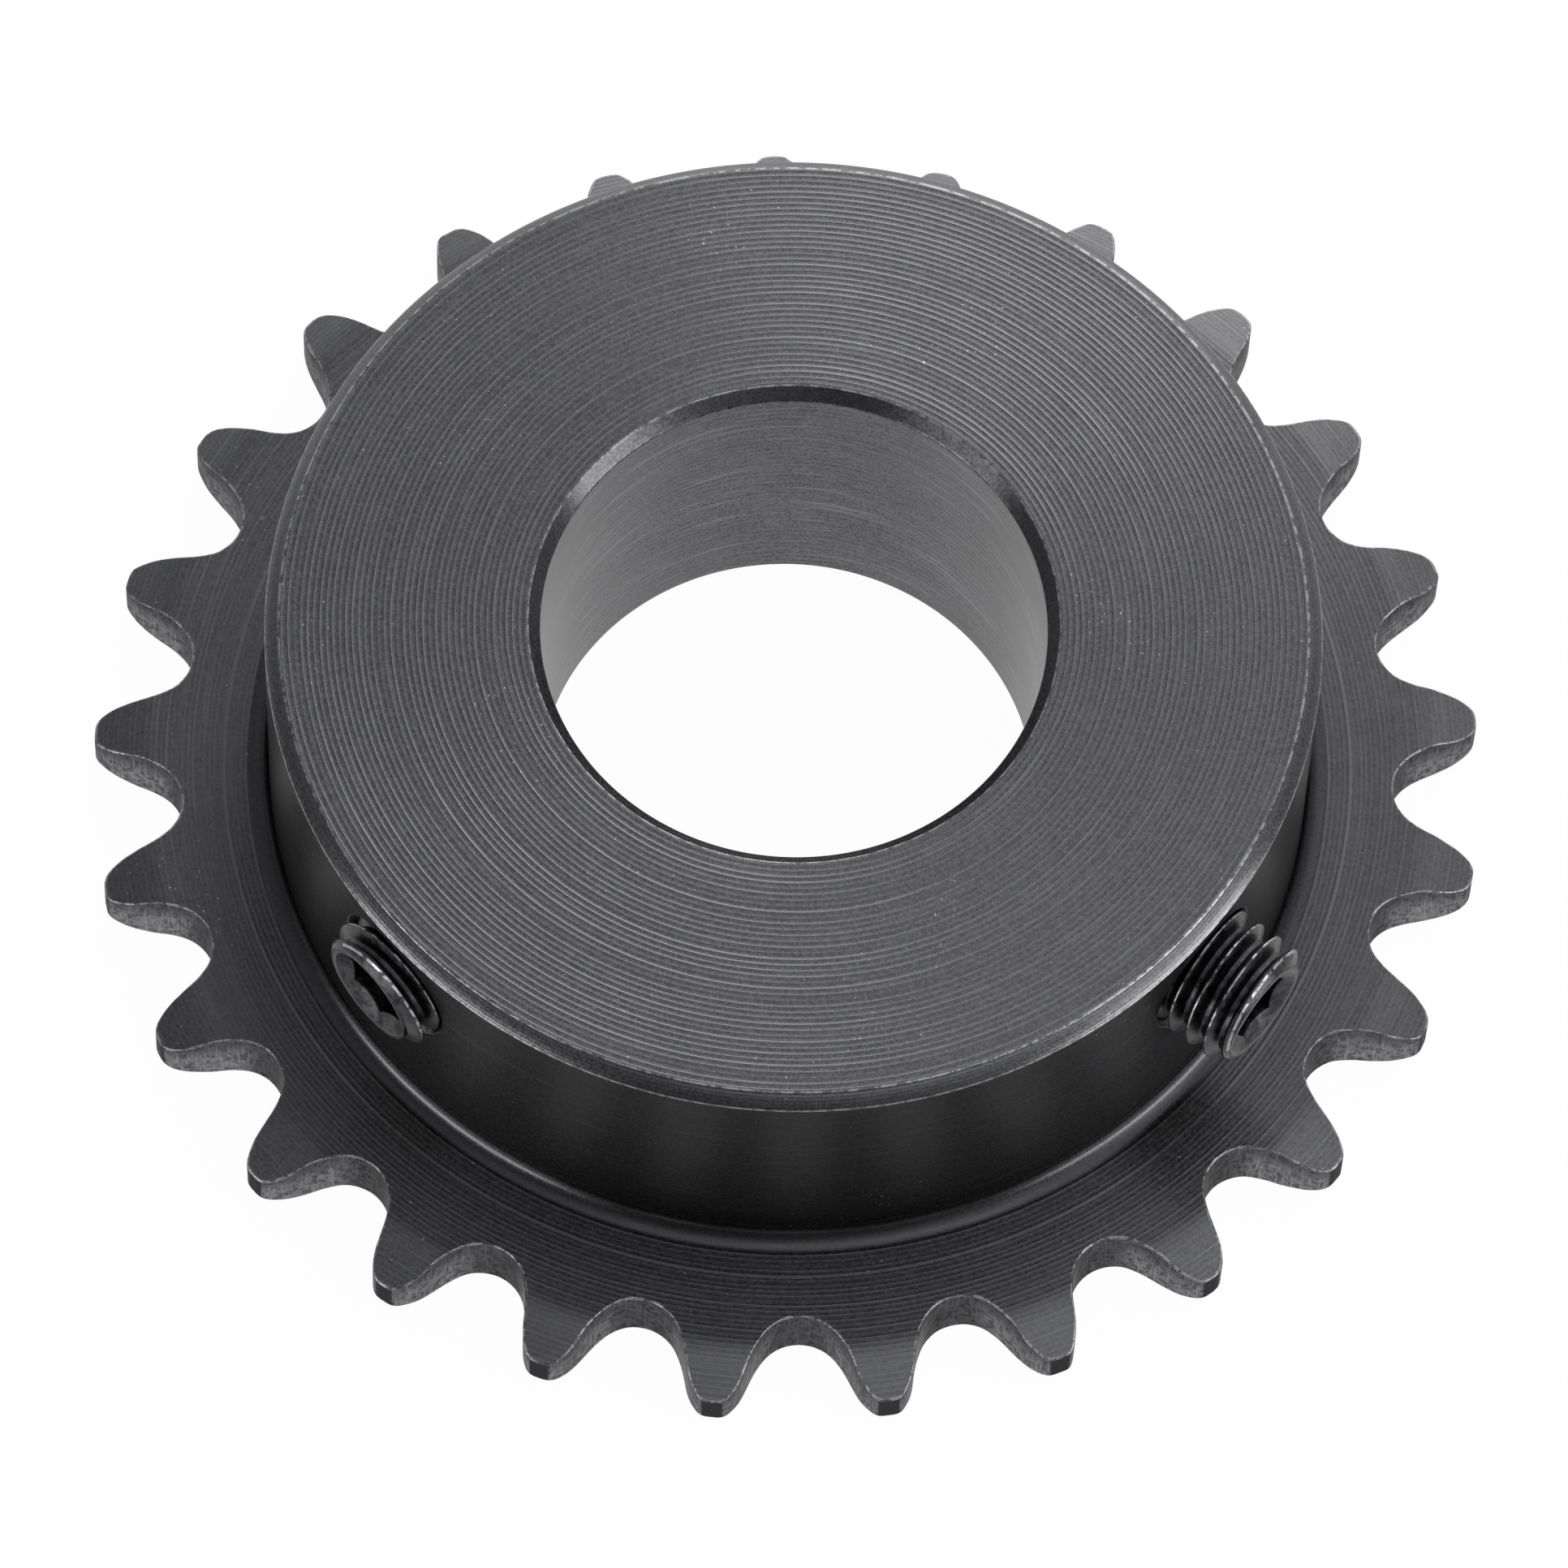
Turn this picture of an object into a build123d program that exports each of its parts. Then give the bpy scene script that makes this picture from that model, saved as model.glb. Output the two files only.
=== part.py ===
from build123d import *
from math import cos, pi, radians, sin, sqrt, tan
import os

# A roller-chain sprocket with its hub on one side. The toothed plate and the hub are
# turned from one bar of steel, and two socket set screws lie in tapped holes in the hub.
# Millimetres and degrees. The bore's axis is Z, the plate's back face is Z = 0 and the
# hub points up. The gap between two teeth and the middle of the two screws face -Y.

# Chain that the teeth carry
chain_pitch = 9.525
roller_diameter = 5.08
tooth_count = 25

# Standard tooth form. The shares are of the roller's diameter, the allowance is a plain
# length, and each angle is a base in degrees and a number that the tooth count divides.
seat_radius_share = 0.5025
seat_allowance = 0.0381
working_centre_share = 0.8
topping_centre_share = 1.4
seat_angle_base = 35
seat_angle_change = 60
working_angle_base = 18
working_angle_change = 56

# The standard's outside diameter is this share of the pitch more than the pitch times
# the cotangent of half a tooth's angle
outside_share = 0.6

# Toothed plate, thinned towards the tips by a straight bevel on both sides
plate_thickness = 4.27
bevel_reach = 2.6
bevel_depth = 1.0

# Hub
hub_diameter = 60.5
overall_length = 22.3
hub_chamfer = 0.8
foot_fillet = 1.3

# Bore
bore_diameter = 29.0
front_bore_chamfer = 0.7
back_bore_chamfer = 0.6

# Tapped holes, drawn at the thread's outer diameter. Their axes lie below the hub's end.
thread_diameter = 8.0
hole_drop = 5.7
hole_half_angle = 50.0
countersink = 0.4

# Set screws
thread_clearance = 0.05
screw_length = 12.0
left_stand_out = 1.7
right_stand_out = 4.2
socket_end_chamfer = 0.7
point_end_chamfer = 1.0
cup_diameter = 5.0
cup_depth = 1.2
socket_across_flats = 4.0
socket_depth = 4.0
socket_drill_depth = 1.0

# How far a cutting tool runs past the surface that it cuts
overrun = 1.0

bore_radius = bore_diameter / 2
hub_radius = hub_diameter / 2
hole_radius = thread_diameter / 2
pitch_radius = chain_pitch / sin(pi / tooth_count) / 2
outside_radius = chain_pitch * (outside_share + 1 / tan(pi / tooth_count)) / 2
hole_height = overall_length - hole_drop


def arc_about(centre, start, end):
    """The shorter arc from start to end round a centre."""
    towards_middle = ((start + end) / 2 - centre).normalized()
    middle = centre + towards_middle * (start - centre).length
    return ThreePointArc(start, middle, end)


def turned_section():
    """Half of the blank's section, as X and Z beside the axis."""
    top = plate_thickness
    bevel_start = outside_radius - bevel_reach
    foot_top = Vector(hub_radius, top + foot_fillet)
    foot_end = Vector(hub_radius + foot_fillet, top)
    foot_centre = Vector(hub_radius + foot_fillet, top + foot_fillet)
    bore_and_hub = Polyline(
        (bore_radius, back_bore_chamfer),
        (bore_radius, overall_length - front_bore_chamfer),
        (bore_radius + front_bore_chamfer, overall_length),
        (hub_radius - hub_chamfer, overall_length),
        (hub_radius, overall_length - hub_chamfer),
        foot_top,
    )
    foot = arc_about(foot_centre, foot_top, foot_end)
    plate = Polyline(
        foot_end,
        (bevel_start, top),
        (outside_radius, top - bevel_depth),
        (outside_radius, bevel_depth),
        (bevel_start, 0),
        (bore_radius + back_bore_chamfer, 0),
        (bore_radius, back_bore_chamfer),
    )
    return make_face(Curve() + [bore_and_hub, foot, plate])


def turned_blank():
    """The sprocket as it leaves the lathe, before its teeth are cut."""
    return revolve(Plane.XZ * turned_section(), axis=Axis.Z)


def tooth_gap():
    """One gap of the standard roller-chain tooth form, opening along +X.

    A seating arc holds the roller. On each side it runs into a working arc, a short
    straight flank and a topping arc, which would meet its neighbour in a pointed tooth.
    The outside diameter of the blank leaves a narrow land there instead.
    """
    half_pitch_angle = pi / tooth_count
    seat_angle = radians(seat_angle_base + seat_angle_change / tooth_count)
    working_angle = radians(working_angle_base - working_angle_change / tooth_count)
    seat_radius = seat_radius_share * roller_diameter + seat_allowance
    working_offset = working_centre_share * roller_diameter
    working_radius = seat_radius + working_offset
    topping_offset = topping_centre_share * roller_diameter

    seat_centre = Vector(pitch_radius, 0)
    seat_bottom = Vector(pitch_radius - seat_radius, 0)
    seat_end = seat_centre + Vector(-sin(seat_angle), cos(seat_angle)) * seat_radius
    working_centre = seat_centre + Vector(sin(seat_angle), -cos(seat_angle)) * working_offset

    # The straight flank is square to the last radius of the working arc
    flank_normal_angle = working_angle - seat_angle
    flank_normal = Vector(sin(flank_normal_angle), cos(flank_normal_angle))
    working_end = working_centre + flank_normal * working_radius
    towards_topping = Vector(-sin(half_pitch_angle), cos(half_pitch_angle))
    topping_centre = seat_centre + towards_topping * topping_offset
    topping_radius = (topping_centre - working_end).dot(flank_normal)
    flank_end = topping_centre - flank_normal * topping_radius

    # The topping arc ends on the tooth's centre line
    tooth_line = Vector(cos(half_pitch_angle), sin(half_pitch_angle))
    along = topping_centre.dot(tooth_line)
    tip = tooth_line * (along + sqrt(along**2 - topping_centre.length**2 + topping_radius**2))

    flank = [
        arc_about(working_centre, seat_end, working_end),
        Line(working_end, flank_end),
        arc_about(topping_centre, flank_end, tip),
    ]
    mirrored_flank = [mirror(edge, about=Plane.XZ) for edge in flank]
    mirrored_seat_end = Vector(seat_end.X, -seat_end.Y)
    mirrored_tip = Vector(tip.X, -tip.Y)
    seat = ThreePointArc(mirrored_seat_end, seat_bottom, seat_end)
    mouth = ThreePointArc(tip, Vector(tip.length, 0), mirrored_tip)
    return make_face(Curve() + [seat, mouth] + flank + mirrored_flank)


def tooth_gaps():
    """A cutter for every gap, the first of them facing -Y."""
    cutter = extrude(tooth_gap(), amount=plate_thickness + 2 * overrun)
    cutter = Pos(0, 0, -overrun) * cutter
    return PolarLocations(0, tooth_count, start_angle=-90) * cutter


def screw_plane(angle_from_front, distance):
    """A plane across a tapped hole's axis, at a distance from the bore's axis."""
    angle = radians(angle_from_front - 90)
    outward = Vector(cos(angle), sin(angle), 0)
    centre = outward * distance + Vector(0, 0, hole_height)
    return Plane(origin=centre, x_dir=(0, 0, 1), z_dir=outward)


def tapped_hole(angle_from_front):
    """A cutter for one radial hole from the bore to the hub's wall, with its countersink."""
    start = (Align.CENTER, Align.CENTER, Align.MIN)
    hole = Cylinder(hole_radius, hub_radius + overrun, align=start)
    mouth = Cone(hole_radius, hole_radius + countersink + overrun, countersink + overrun, align=start)
    return [
        screw_plane(angle_from_front, 0) * hole,
        screw_plane(angle_from_front, hub_radius - countersink) * mouth,
    ]


def sprocket():
    body = turned_blank() - tooth_gaps()
    for angle in (-hole_half_angle, hole_half_angle):
        body -= tapped_hole(angle)
    return body


def set_screw():
    """A cup-point set screw that stands on its point, with its thread left plain."""
    base = (Align.CENTER, Align.CENTER, Align.MIN)
    radius = hole_radius - thread_clearance
    screw = Cylinder(radius, screw_length, align=base)
    screw = chamfer(screw.edges().sort_by(Axis.Z)[0], point_end_chamfer)
    screw = chamfer(screw.edges().sort_by(Axis.Z)[-1], socket_end_chamfer)

    cup = Cone(cup_diameter / 2, 0, cup_depth, align=base)
    hexagon = RegularPolygon(socket_across_flats / 2, 6, major_radius=False)
    socket = Pos(0, 0, screw_length - socket_depth) * extrude(hexagon, amount=socket_depth)
    drill_bottom = screw_length - socket_depth - socket_drill_depth
    drill_tip = Pos(0, 0, drill_bottom) * Cone(0, socket_across_flats / 2, socket_drill_depth, align=base)
    return screw - cup - socket - drill_tip


def set_screws():
    """Both screws, each standing out of the hub by its own amount."""
    placed = []
    for angle, stand_out in ((-hole_half_angle, left_stand_out), (hole_half_angle, right_stand_out)):
        point = hub_radius + stand_out - screw_length
        placed.append(screw_plane(angle, point) * set_screw())
    return Compound(children=placed)


def main():
    os.makedirs("parts", exist_ok=True)
    export_step(sprocket(), "parts/sprocket.step")
    export_step(set_screws(), "parts/set_screws.step")


main()
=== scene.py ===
from math import acos, atan2, cos, hypot, pi, radians, sin

import bpy
import numpy as np
from mathutils import Matrix, Vector

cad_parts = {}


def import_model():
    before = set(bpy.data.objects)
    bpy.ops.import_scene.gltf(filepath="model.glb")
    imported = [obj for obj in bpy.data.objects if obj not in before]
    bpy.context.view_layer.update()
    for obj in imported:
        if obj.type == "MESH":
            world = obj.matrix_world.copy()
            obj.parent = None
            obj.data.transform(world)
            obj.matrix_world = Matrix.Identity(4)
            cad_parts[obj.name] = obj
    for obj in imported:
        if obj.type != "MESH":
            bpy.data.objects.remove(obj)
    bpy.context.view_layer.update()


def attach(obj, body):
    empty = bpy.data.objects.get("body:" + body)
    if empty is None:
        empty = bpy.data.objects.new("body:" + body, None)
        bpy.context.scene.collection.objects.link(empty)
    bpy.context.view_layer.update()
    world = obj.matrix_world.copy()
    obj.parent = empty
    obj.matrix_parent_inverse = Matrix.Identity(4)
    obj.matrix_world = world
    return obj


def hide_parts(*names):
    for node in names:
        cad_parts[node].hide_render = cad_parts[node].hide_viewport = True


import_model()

# Sizes in millimetres and angles in degrees, the same as in the part's source
CHAIN_PITCH = 9.525
ROLLER = 5.08
TEETH = 25
PLATE = 4.27
BEVEL_REACH = 2.6
BEVEL_DEPTH = 1.0
HUB_R = 30.25
LENGTH = 22.3
HUB_CHAMFER = 0.8
FOOT = 1.3
BORE_R = 14.5
FRONT_CHAMFER = 0.7
BACK_CHAMFER = 0.6
HOLE_R = 4.0
HOLE_DROP = 5.7
HOLE_Z = LENGTH - HOLE_DROP
HOLE_ANGLES = (-50.0, 50.0)
COUNTERSINK = 0.4
THREAD_CLEARANCE = 0.05
SCREW_R = HOLE_R - THREAD_CLEARANCE
SCREW_LENGTH = 12.0
STAND_OUT = (1.7, 4.2)
SOCKET_END_CHAMFER = 0.7
POINT_END_CHAMFER = 1.0
SOCKET_R = 2.0
SOCKET_DEPTH = 4.0
DRILL_DEPTH = 1.0
CUP_DEPTH = 1.2
OUTSIDE_SHARE = 0.6
PITCH_R = CHAIN_PITCH / sin(pi / TEETH) / 2
OUT_R = CHAIN_PITCH * (OUTSIDE_SHARE + cos(pi / TEETH) / sin(pi / TEETH)) / 2

# The standard tooth form: shares of the roller's diameter, one length, and two angles
SEAT_SHARE = 0.5025
SEAT_ALLOWANCE = 0.0381
WORKING_SHARE = 0.8
TOPPING_SHARE = 1.4
SEAT_ANGLE = radians(35 + 60 / TEETH)
WORKING_ANGLE = radians(18 - 56 / TEETH)

# How much of the topping arc and of the land a rounded tooth tip takes, at a wear of 1
TIP_TRIM = 0.46
LAND_TRIM = 0.4
TIP_WEAR = (0.75, 1.25)

# Height of the bevel's fall for each millimetre of its reach, and where it starts
BEVEL_SLOPE = BEVEL_DEPTH / BEVEL_REACH
CREASE_R = OUT_R - BEVEL_REACH
# How far the shading of the bevel's crease spreads to each side
CREASE_BLEND = 1.0
# How far the loops round the crease keep from the edge of the teeth, from the inside outwards
CREASE_GUARDS = (0.5, 0.36, 0.22, 0.14)

# How far a broken edge of the turned parts reaches to each side of its corner
EDGE = 0.06
# The width of the teeth's broken edge: its least, and what uneven wear and burrs add to it
TOOTH_EDGE, TOOTH_EDGE_WEAR, TOOTH_EDGE_BURR = 0.045, 0.06, 0.05
# The highest burr on the upper edge of the teeth, and the noise above which there is one
BURR = 0.035
BURR_START = 0.62
# Into how many cells the circle is divided for each noise
BURR_CELLS, BURR_CROWD_CELLS, WEAR_CELLS, LIFT_CELLS = 170, 23, 400, 500

# Loops that divide the wide bands of the face, the plate and the back, and the hub's wall
FACE_RING = 22.0
PLATE_RINGS = (32.0, 33.3, 34.6)
BACK_RINGS = (34.6, 28.0, 21.0)
WALL_LEVEL = 8.5

# Heights of the loops that run past the tapped holes, and half of the gap left round each hole
HOLE_LEVELS = np.array([11.5, 12.6, 13.7, 15.0, 16.5, 18.0, 19.2, 20.3, 21.3])
WALL_GAP = 5.0
BORE_GAP = 4.9
# How far the broken edge of a hole's mouth reaches over the hub's wall and into the hole, and
# the one at the bore over the bore's wall
MOUTH_OVER, MOUTH_INTO = 0.05, 0.03
BORE_MOUTH_OVER = 0.12
# The share of the hole's radius at which its thread meets the bore's wall
THREAD_END_SHARE = 0.92

# The thread: depth below the crest, by the share of a pitch
THREAD_PITCH = 1.25
THREAD_STATIONS = (0.0, 0.02, 0.105, 0.125, 0.42, 0.47, 0.655, 0.705, 0.98, 1.0)
THREAD_DEPTHS = (0.02, 0.0, 0.0, 0.02, 0.74, 0.767, 0.767, 0.74, 0.04, 0.02)
# The shares of a pitch at which the mesh has a row, on the screws and in the holes
SCREW_ROWS = (
    0.0, 0.02, 0.06, 0.105, 0.125, 0.2, 0.27, 0.345,
    0.42, 0.47, 0.56, 0.655, 0.705, 0.78, 0.85, 0.92,
)
HOLE_ROWS = (0.0, 0.105, 0.27, 0.42, 0.56, 0.655, 0.705, 0.85)
# How far the holes' thread clears the screws', and how deep it is at most
THREAD_GAP = 0.06
HOLE_THREAD_DEPTH = 0.62
# How far the thread's rows keep from the two ends of a hole and of a screw
HOLE_MARGIN, SCREW_MARGIN = 0.1, 0.02

# How far each screw's socket is turned about its axis, in radians
HEX_TURN = (0.35, 0.0)
# The socket's round mouth: depth, radius and wear of each loop
SOCKET_MOUTH = ((0.0, 3.18, 0.5), (0.0, 2.95, 0.5), (0.06, 2.86, 0.3))
# The mouth's cone, which cuts the hexagon: its radius at a first depth, and how much deeper it
# lies for each millimetre of radius less
CONE_R = 2.80
CONE_DEPTH = 0.1
CONE_SLOPE = 0.6
# The cup point: height above the screw's point, radius and wear of each loop
CUP_ROWS = ((0.0, 2.6, 0.6), (0.1, 2.42, 0.3), (CUP_DEPTH - 0.1, 0.2, 0.0))

# Points round each screw and hole
TURNS = 96
TURN = np.arange(TURNS) * 2 * pi / TURNS

# Material slots of the body
FACE, WALL, PLATE_FACE, FLANK, BORE, HOLE, CHAMFER, FOOT_CURVE = range(8)

rng = np.random.default_rng(25)


class Shell:
    """A mesh that grows by loops of points.

    A normal left as nan is worked out from the faces. The edge value says how worn a point is.
    """

    def __init__(self):
        self.points, self.normals, self.edges = [], [], []
        self.quads, self.quad_zones = [], []
        self.faces, self.zones = [], []
        self.count = 0

    def add(self, points, normals=None, edge=0.0):
        points = np.asarray(points, float).reshape(-1, 3)
        if normals is None:
            normals = np.full(points.shape, np.nan)
        self.points.append(points)
        self.normals.append(np.broadcast_to(np.asarray(normals, float), points.shape))
        self.edges.append(np.broadcast_to(np.asarray(edge, float), (len(points),)))
        first = self.count
        self.count += len(points)
        return np.arange(first, self.count)

    def face(self, corners, zone):
        """One face, without the corners that coincide."""
        kept = []
        for c in corners:
            if c not in kept:
                kept.append(c)
        if len(kept) > 2:
            self.faces.append([int(c) for c in kept])
            self.zones.append(zone)

    def band(self, a, b, zone, skip=()):
        """Faces between two closed loops of as many points."""
        a, b = np.asarray(a), np.asarray(b)
        quads = np.stack([a, b, np.roll(b, -1), np.roll(a, -1)], 1)
        quads = np.delete(quads, sorted(skip), axis=0)
        self.quads.append(quads)
        self.quad_zones.append(np.full(len(quads), zone))

    def zip(self, a, a_turn, b, b_turn, zone):
        """Triangles between two closed loops that go round the same way, by their angles."""
        def from_start(loop, turn):
            turn = np.mod(turn + 3 * pi / 4, 2 * pi)
            order = np.argsort(turn)
            loop, turn = np.asarray(loop)[order], turn[order]
            return np.append(loop, loop[0]), np.append(turn, turn[0] + 2 * pi)
        a, a_turn = from_start(a, np.asarray(a_turn))
        b, b_turn = from_start(b, np.asarray(b_turn))
        i = j = 0
        while i < len(a) - 1 or j < len(b) - 1:
            if j == len(b) - 1 or (i < len(a) - 1 and a_turn[i + 1] <= b_turn[j + 1]):
                self.face((a[i], a[i + 1], b[j]), zone)
                i += 1
            else:
                self.face((b[j + 1], b[j], a[i]), zone)
                j += 1

    def fan(self, loop, tip, zone):
        """Triangles from a closed loop to a single point."""
        for here, following in zip(loop, np.roll(loop, -1)):
            self.face((here, following, tip[0]), zone)

    def build(self, name, materials):
        points = np.concatenate(self.points)
        given = np.concatenate(self.normals)
        quads = np.concatenate(self.quads)
        zones = np.concatenate(self.quad_zones).tolist() + self.zones
        mesh = bpy.data.meshes.new(name)
        mesh.from_pydata((points * 0.001).tolist(), [], quads.tolist() + self.faces)

        fours = np.array([f for f in self.faces if len(f) == 4]).reshape(-1, 4)
        threes = np.array([f for f in self.faces if len(f) == 3]).reshape(-1, 3)
        made = np.zeros_like(points)
        for corners in (np.concatenate([quads, fours]), threes):
            p = points[corners]
            area = np.cross(p[:, 2] - p[:, 0], p[:, -1] - p[:, 1])
            for k in range(corners.shape[1]):
                np.add.at(made, corners[:, k], area)
        made /= np.maximum(np.linalg.norm(made, axis=1, keepdims=True), 1e-12)
        normals = np.where(np.isnan(given), made, given)

        mesh.polygons.foreach_set("material_index", np.array(zones, np.int32))
        mesh.shade_smooth()
        mesh.update()
        mesh.validate()
        mesh.normals_split_custom_set_from_vertices(normals.tolist())
        wear = mesh.attributes.new("edge", "FLOAT", "POINT")
        wear.data.foreach_set("value", np.concatenate(self.edges).astype(np.float32))
        for material in materials:
            mesh.materials.append(material)
        piece = bpy.data.objects.new(name, mesh)
        bpy.context.scene.collection.objects.link(piece)
        return piece


def smooth_noise(count, cells):
    """Seeded noise from 0 to 1 round a closed loop."""
    knots = rng.random(cells)
    where = np.arange(count) / count * cells
    low = where.astype(int)
    t = where - low
    t = t * t * (3 - 2 * t)
    return knots[low % cells] * (1 - t) + knots[(low + 1) % cells] * t


def direction(angle):
    return np.array([cos(angle), sin(angle)])


def half_gap(wear):
    """Half of a tooth gap, from its bottom to the middle of a tooth, and its outward normals.

    The wear says how far the corner of the tooth's tip is rounded.
    """
    half = pi / TEETH
    seat_r = SEAT_SHARE * ROLLER + SEAT_ALLOWANCE
    working_r = seat_r + WORKING_SHARE * ROLLER
    seat = np.array([PITCH_R, 0.0])
    towards_working = np.array([sin(SEAT_ANGLE), -cos(SEAT_ANGLE)])
    working = seat + towards_working * WORKING_SHARE * ROLLER
    flank_angle = WORKING_ANGLE - SEAT_ANGLE
    flank_n = np.array([sin(flank_angle), cos(flank_angle)])
    working_end = working + flank_n * working_r
    topping = seat + np.array([-sin(half), cos(half)]) * TOPPING_SHARE * ROLLER
    topping_r = (topping - working_end) @ flank_n
    flank_end = topping - flank_n * topping_r

    points, normals = [], []

    def arc(centre, radius, start, end, steps, sign):
        """An arc without its last point."""
        for t in np.linspace(start, end, steps + 1)[:-1]:
            d = direction(t)
            points.append(centre + d * radius)
            normals.append(d * sign)

    seat_end_angle = pi / 2 + SEAT_ANGLE
    arc(seat, seat_r, pi, seat_end_angle, 7, -1)
    arc(working, working_r, seat_end_angle, seat_end_angle - WORKING_ANGLE, 4, -1)
    for t in (0.0, 0.5):
        points.append(working_end + (flank_end - working_end) * t)
        normals.append(-flank_n)

    # The topping arc runs to the land, and a curve takes the corner off between them
    reach = hypot(*topping)
    start = atan2(-flank_n[1], -flank_n[0])
    corner_turn = (OUT_R**2 - reach**2 - topping_r**2) / (2 * reach * topping_r)
    corner = atan2(topping[1], topping[0]) - acos(corner_turn)
    rounded = corner - TIP_TRIM * wear / topping_r
    arc(topping, topping_r, start, rounded, 5, 1)
    before_n = direction(rounded)
    before = topping + before_n * topping_r
    sharp = topping + direction(corner) * topping_r
    after_n = direction(atan2(sharp[1], sharp[0]) + LAND_TRIM * wear / OUT_R)
    after = after_n * OUT_R
    for t in (0.0, 0.33, 0.67):
        points.append(before * (1 - t) ** 2 + sharp * 2 * t * (1 - t) + after * t * t)
        n = before_n * (1 - t) + after_n * t
        normals.append(n / hypot(*n))
    points += [after, direction(half) * OUT_R]
    normals += [after_n, direction(half)]
    return np.array(points), np.array(normals)


def outline():
    """The toothed plan, anticlockwise, one gap facing -Y, with its outward normals."""
    flip = np.array([1.0, -1.0])
    all_points, all_normals = [], []
    for k in range(TEETH):
        low, low_n = half_gap(rng.uniform(*TIP_WEAR))
        high, high_n = half_gap(rng.uniform(*TIP_WEAR))
        one = np.concatenate([low[:0:-1] * flip, high[:-1]])
        one_n = np.concatenate([low_n[:0:-1] * flip, high_n[:-1]])
        t = -pi / 2 + 2 * pi * k / TEETH
        turn = np.array([[cos(t), sin(t)], [-sin(t), cos(t)]])
        all_points.append(one @ turn)
        all_normals.append(one_n @ turn)
    return np.concatenate(all_points), np.concatenate(all_normals)


def thread_depth(share):
    """How far the thread lies below its crest, by the share of a pitch."""
    return np.interp(np.mod(share, 1.0), THREAD_STATIONS, THREAD_DEPTHS)


class ScrewAxis:
    """Points round a screw's axis: along it, and by turn and radius across it."""

    def __init__(self, angle_from_front):
        self.angle = radians(angle_from_front - 90)
        self.out = np.array([cos(self.angle), sin(self.angle), 0.0])
        self.side = np.array([-sin(self.angle), cos(self.angle), 0.0])
        self.up = np.array([0.0, 0.0, 1.0])

    def at(self, along, turn, radius):
        along, turn, radius = np.broadcast_arrays(along, turn, radius)
        across = (radius * np.cos(turn))[..., None]
        height = (HOLE_Z + radius * np.sin(turn))[..., None]
        return along[..., None] * self.out + across * self.side + height * self.up

    def away(self, turn):
        """How far an angle about the bore lies from the screw's."""
        return np.mod(turn - self.angle + pi, 2 * pi) - pi


def sleeve(shell, axis, start, low, high, margin, radius, stations, zone, inward=False, cut_r=None):
    """A threaded surface between two closed borders, which are given back as loops.

    The low border lies on a cylinder about the bore where cut_r gives its radius. Rows of the
    thread keep clear of both borders by the margin.
    """
    share = TURN / (2 * pi)
    first = int(np.floor((low.min() - start) / THREAD_PITCH)) - 2
    last = int(np.ceil((high.max() - start) / THREAD_PITCH)) + 1
    low_radius = radius(low, (low - start) / THREAD_PITCH - share)
    high_radius = radius(high, (high - start) / THREAD_PITCH - share)
    low_at = low
    if cut_r is not None:
        low_at = np.sqrt(cut_r ** 2 - (low_radius * np.cos(TURN)) ** 2)
    low_loop = shell.add(axis.at(low_at, TURN, low_radius), edge=0.6)
    high_loop = shell.add(axis.at(high, TURN, high_radius), edge=0.6)
    rows = []
    for k in range(first, last + 1):
        for f in stations:
            along = start + (k + f + share) * THREAD_PITCH
            inside = (along > low + margin) & (along < high - margin)
            row = np.where(along <= low + margin, low_loop, high_loop)
            if inside.any():
                turn, where = TURN[inside], along[inside]
                r = radius(where, np.full(len(where), f))
                crest = thread_depth(f) < 0.01
                row[inside] = shell.add(axis.at(where, turn, r), edge=1.0 if crest else 0.0)
            rows.append(row)

    # After one turn a row meets the row that lies one pitch further on
    step = len(stations)
    for i in range(len(rows) - 1):
        for j in range(TURNS):
            if j + 1 < TURNS:
                far, far_up = rows[i][j + 1], rows[i + 1][j + 1]
            elif i + 1 + step < len(rows):
                far, far_up = rows[i + step][0], rows[i + 1 + step][0]
            else:
                far = far_up = high_loop[0]
            corners = (rows[i][j], far, far_up, rows[i + 1][j])
            shell.face(corners[::-1] if inward else corners, zone)
    return low_loop, high_loop


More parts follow.
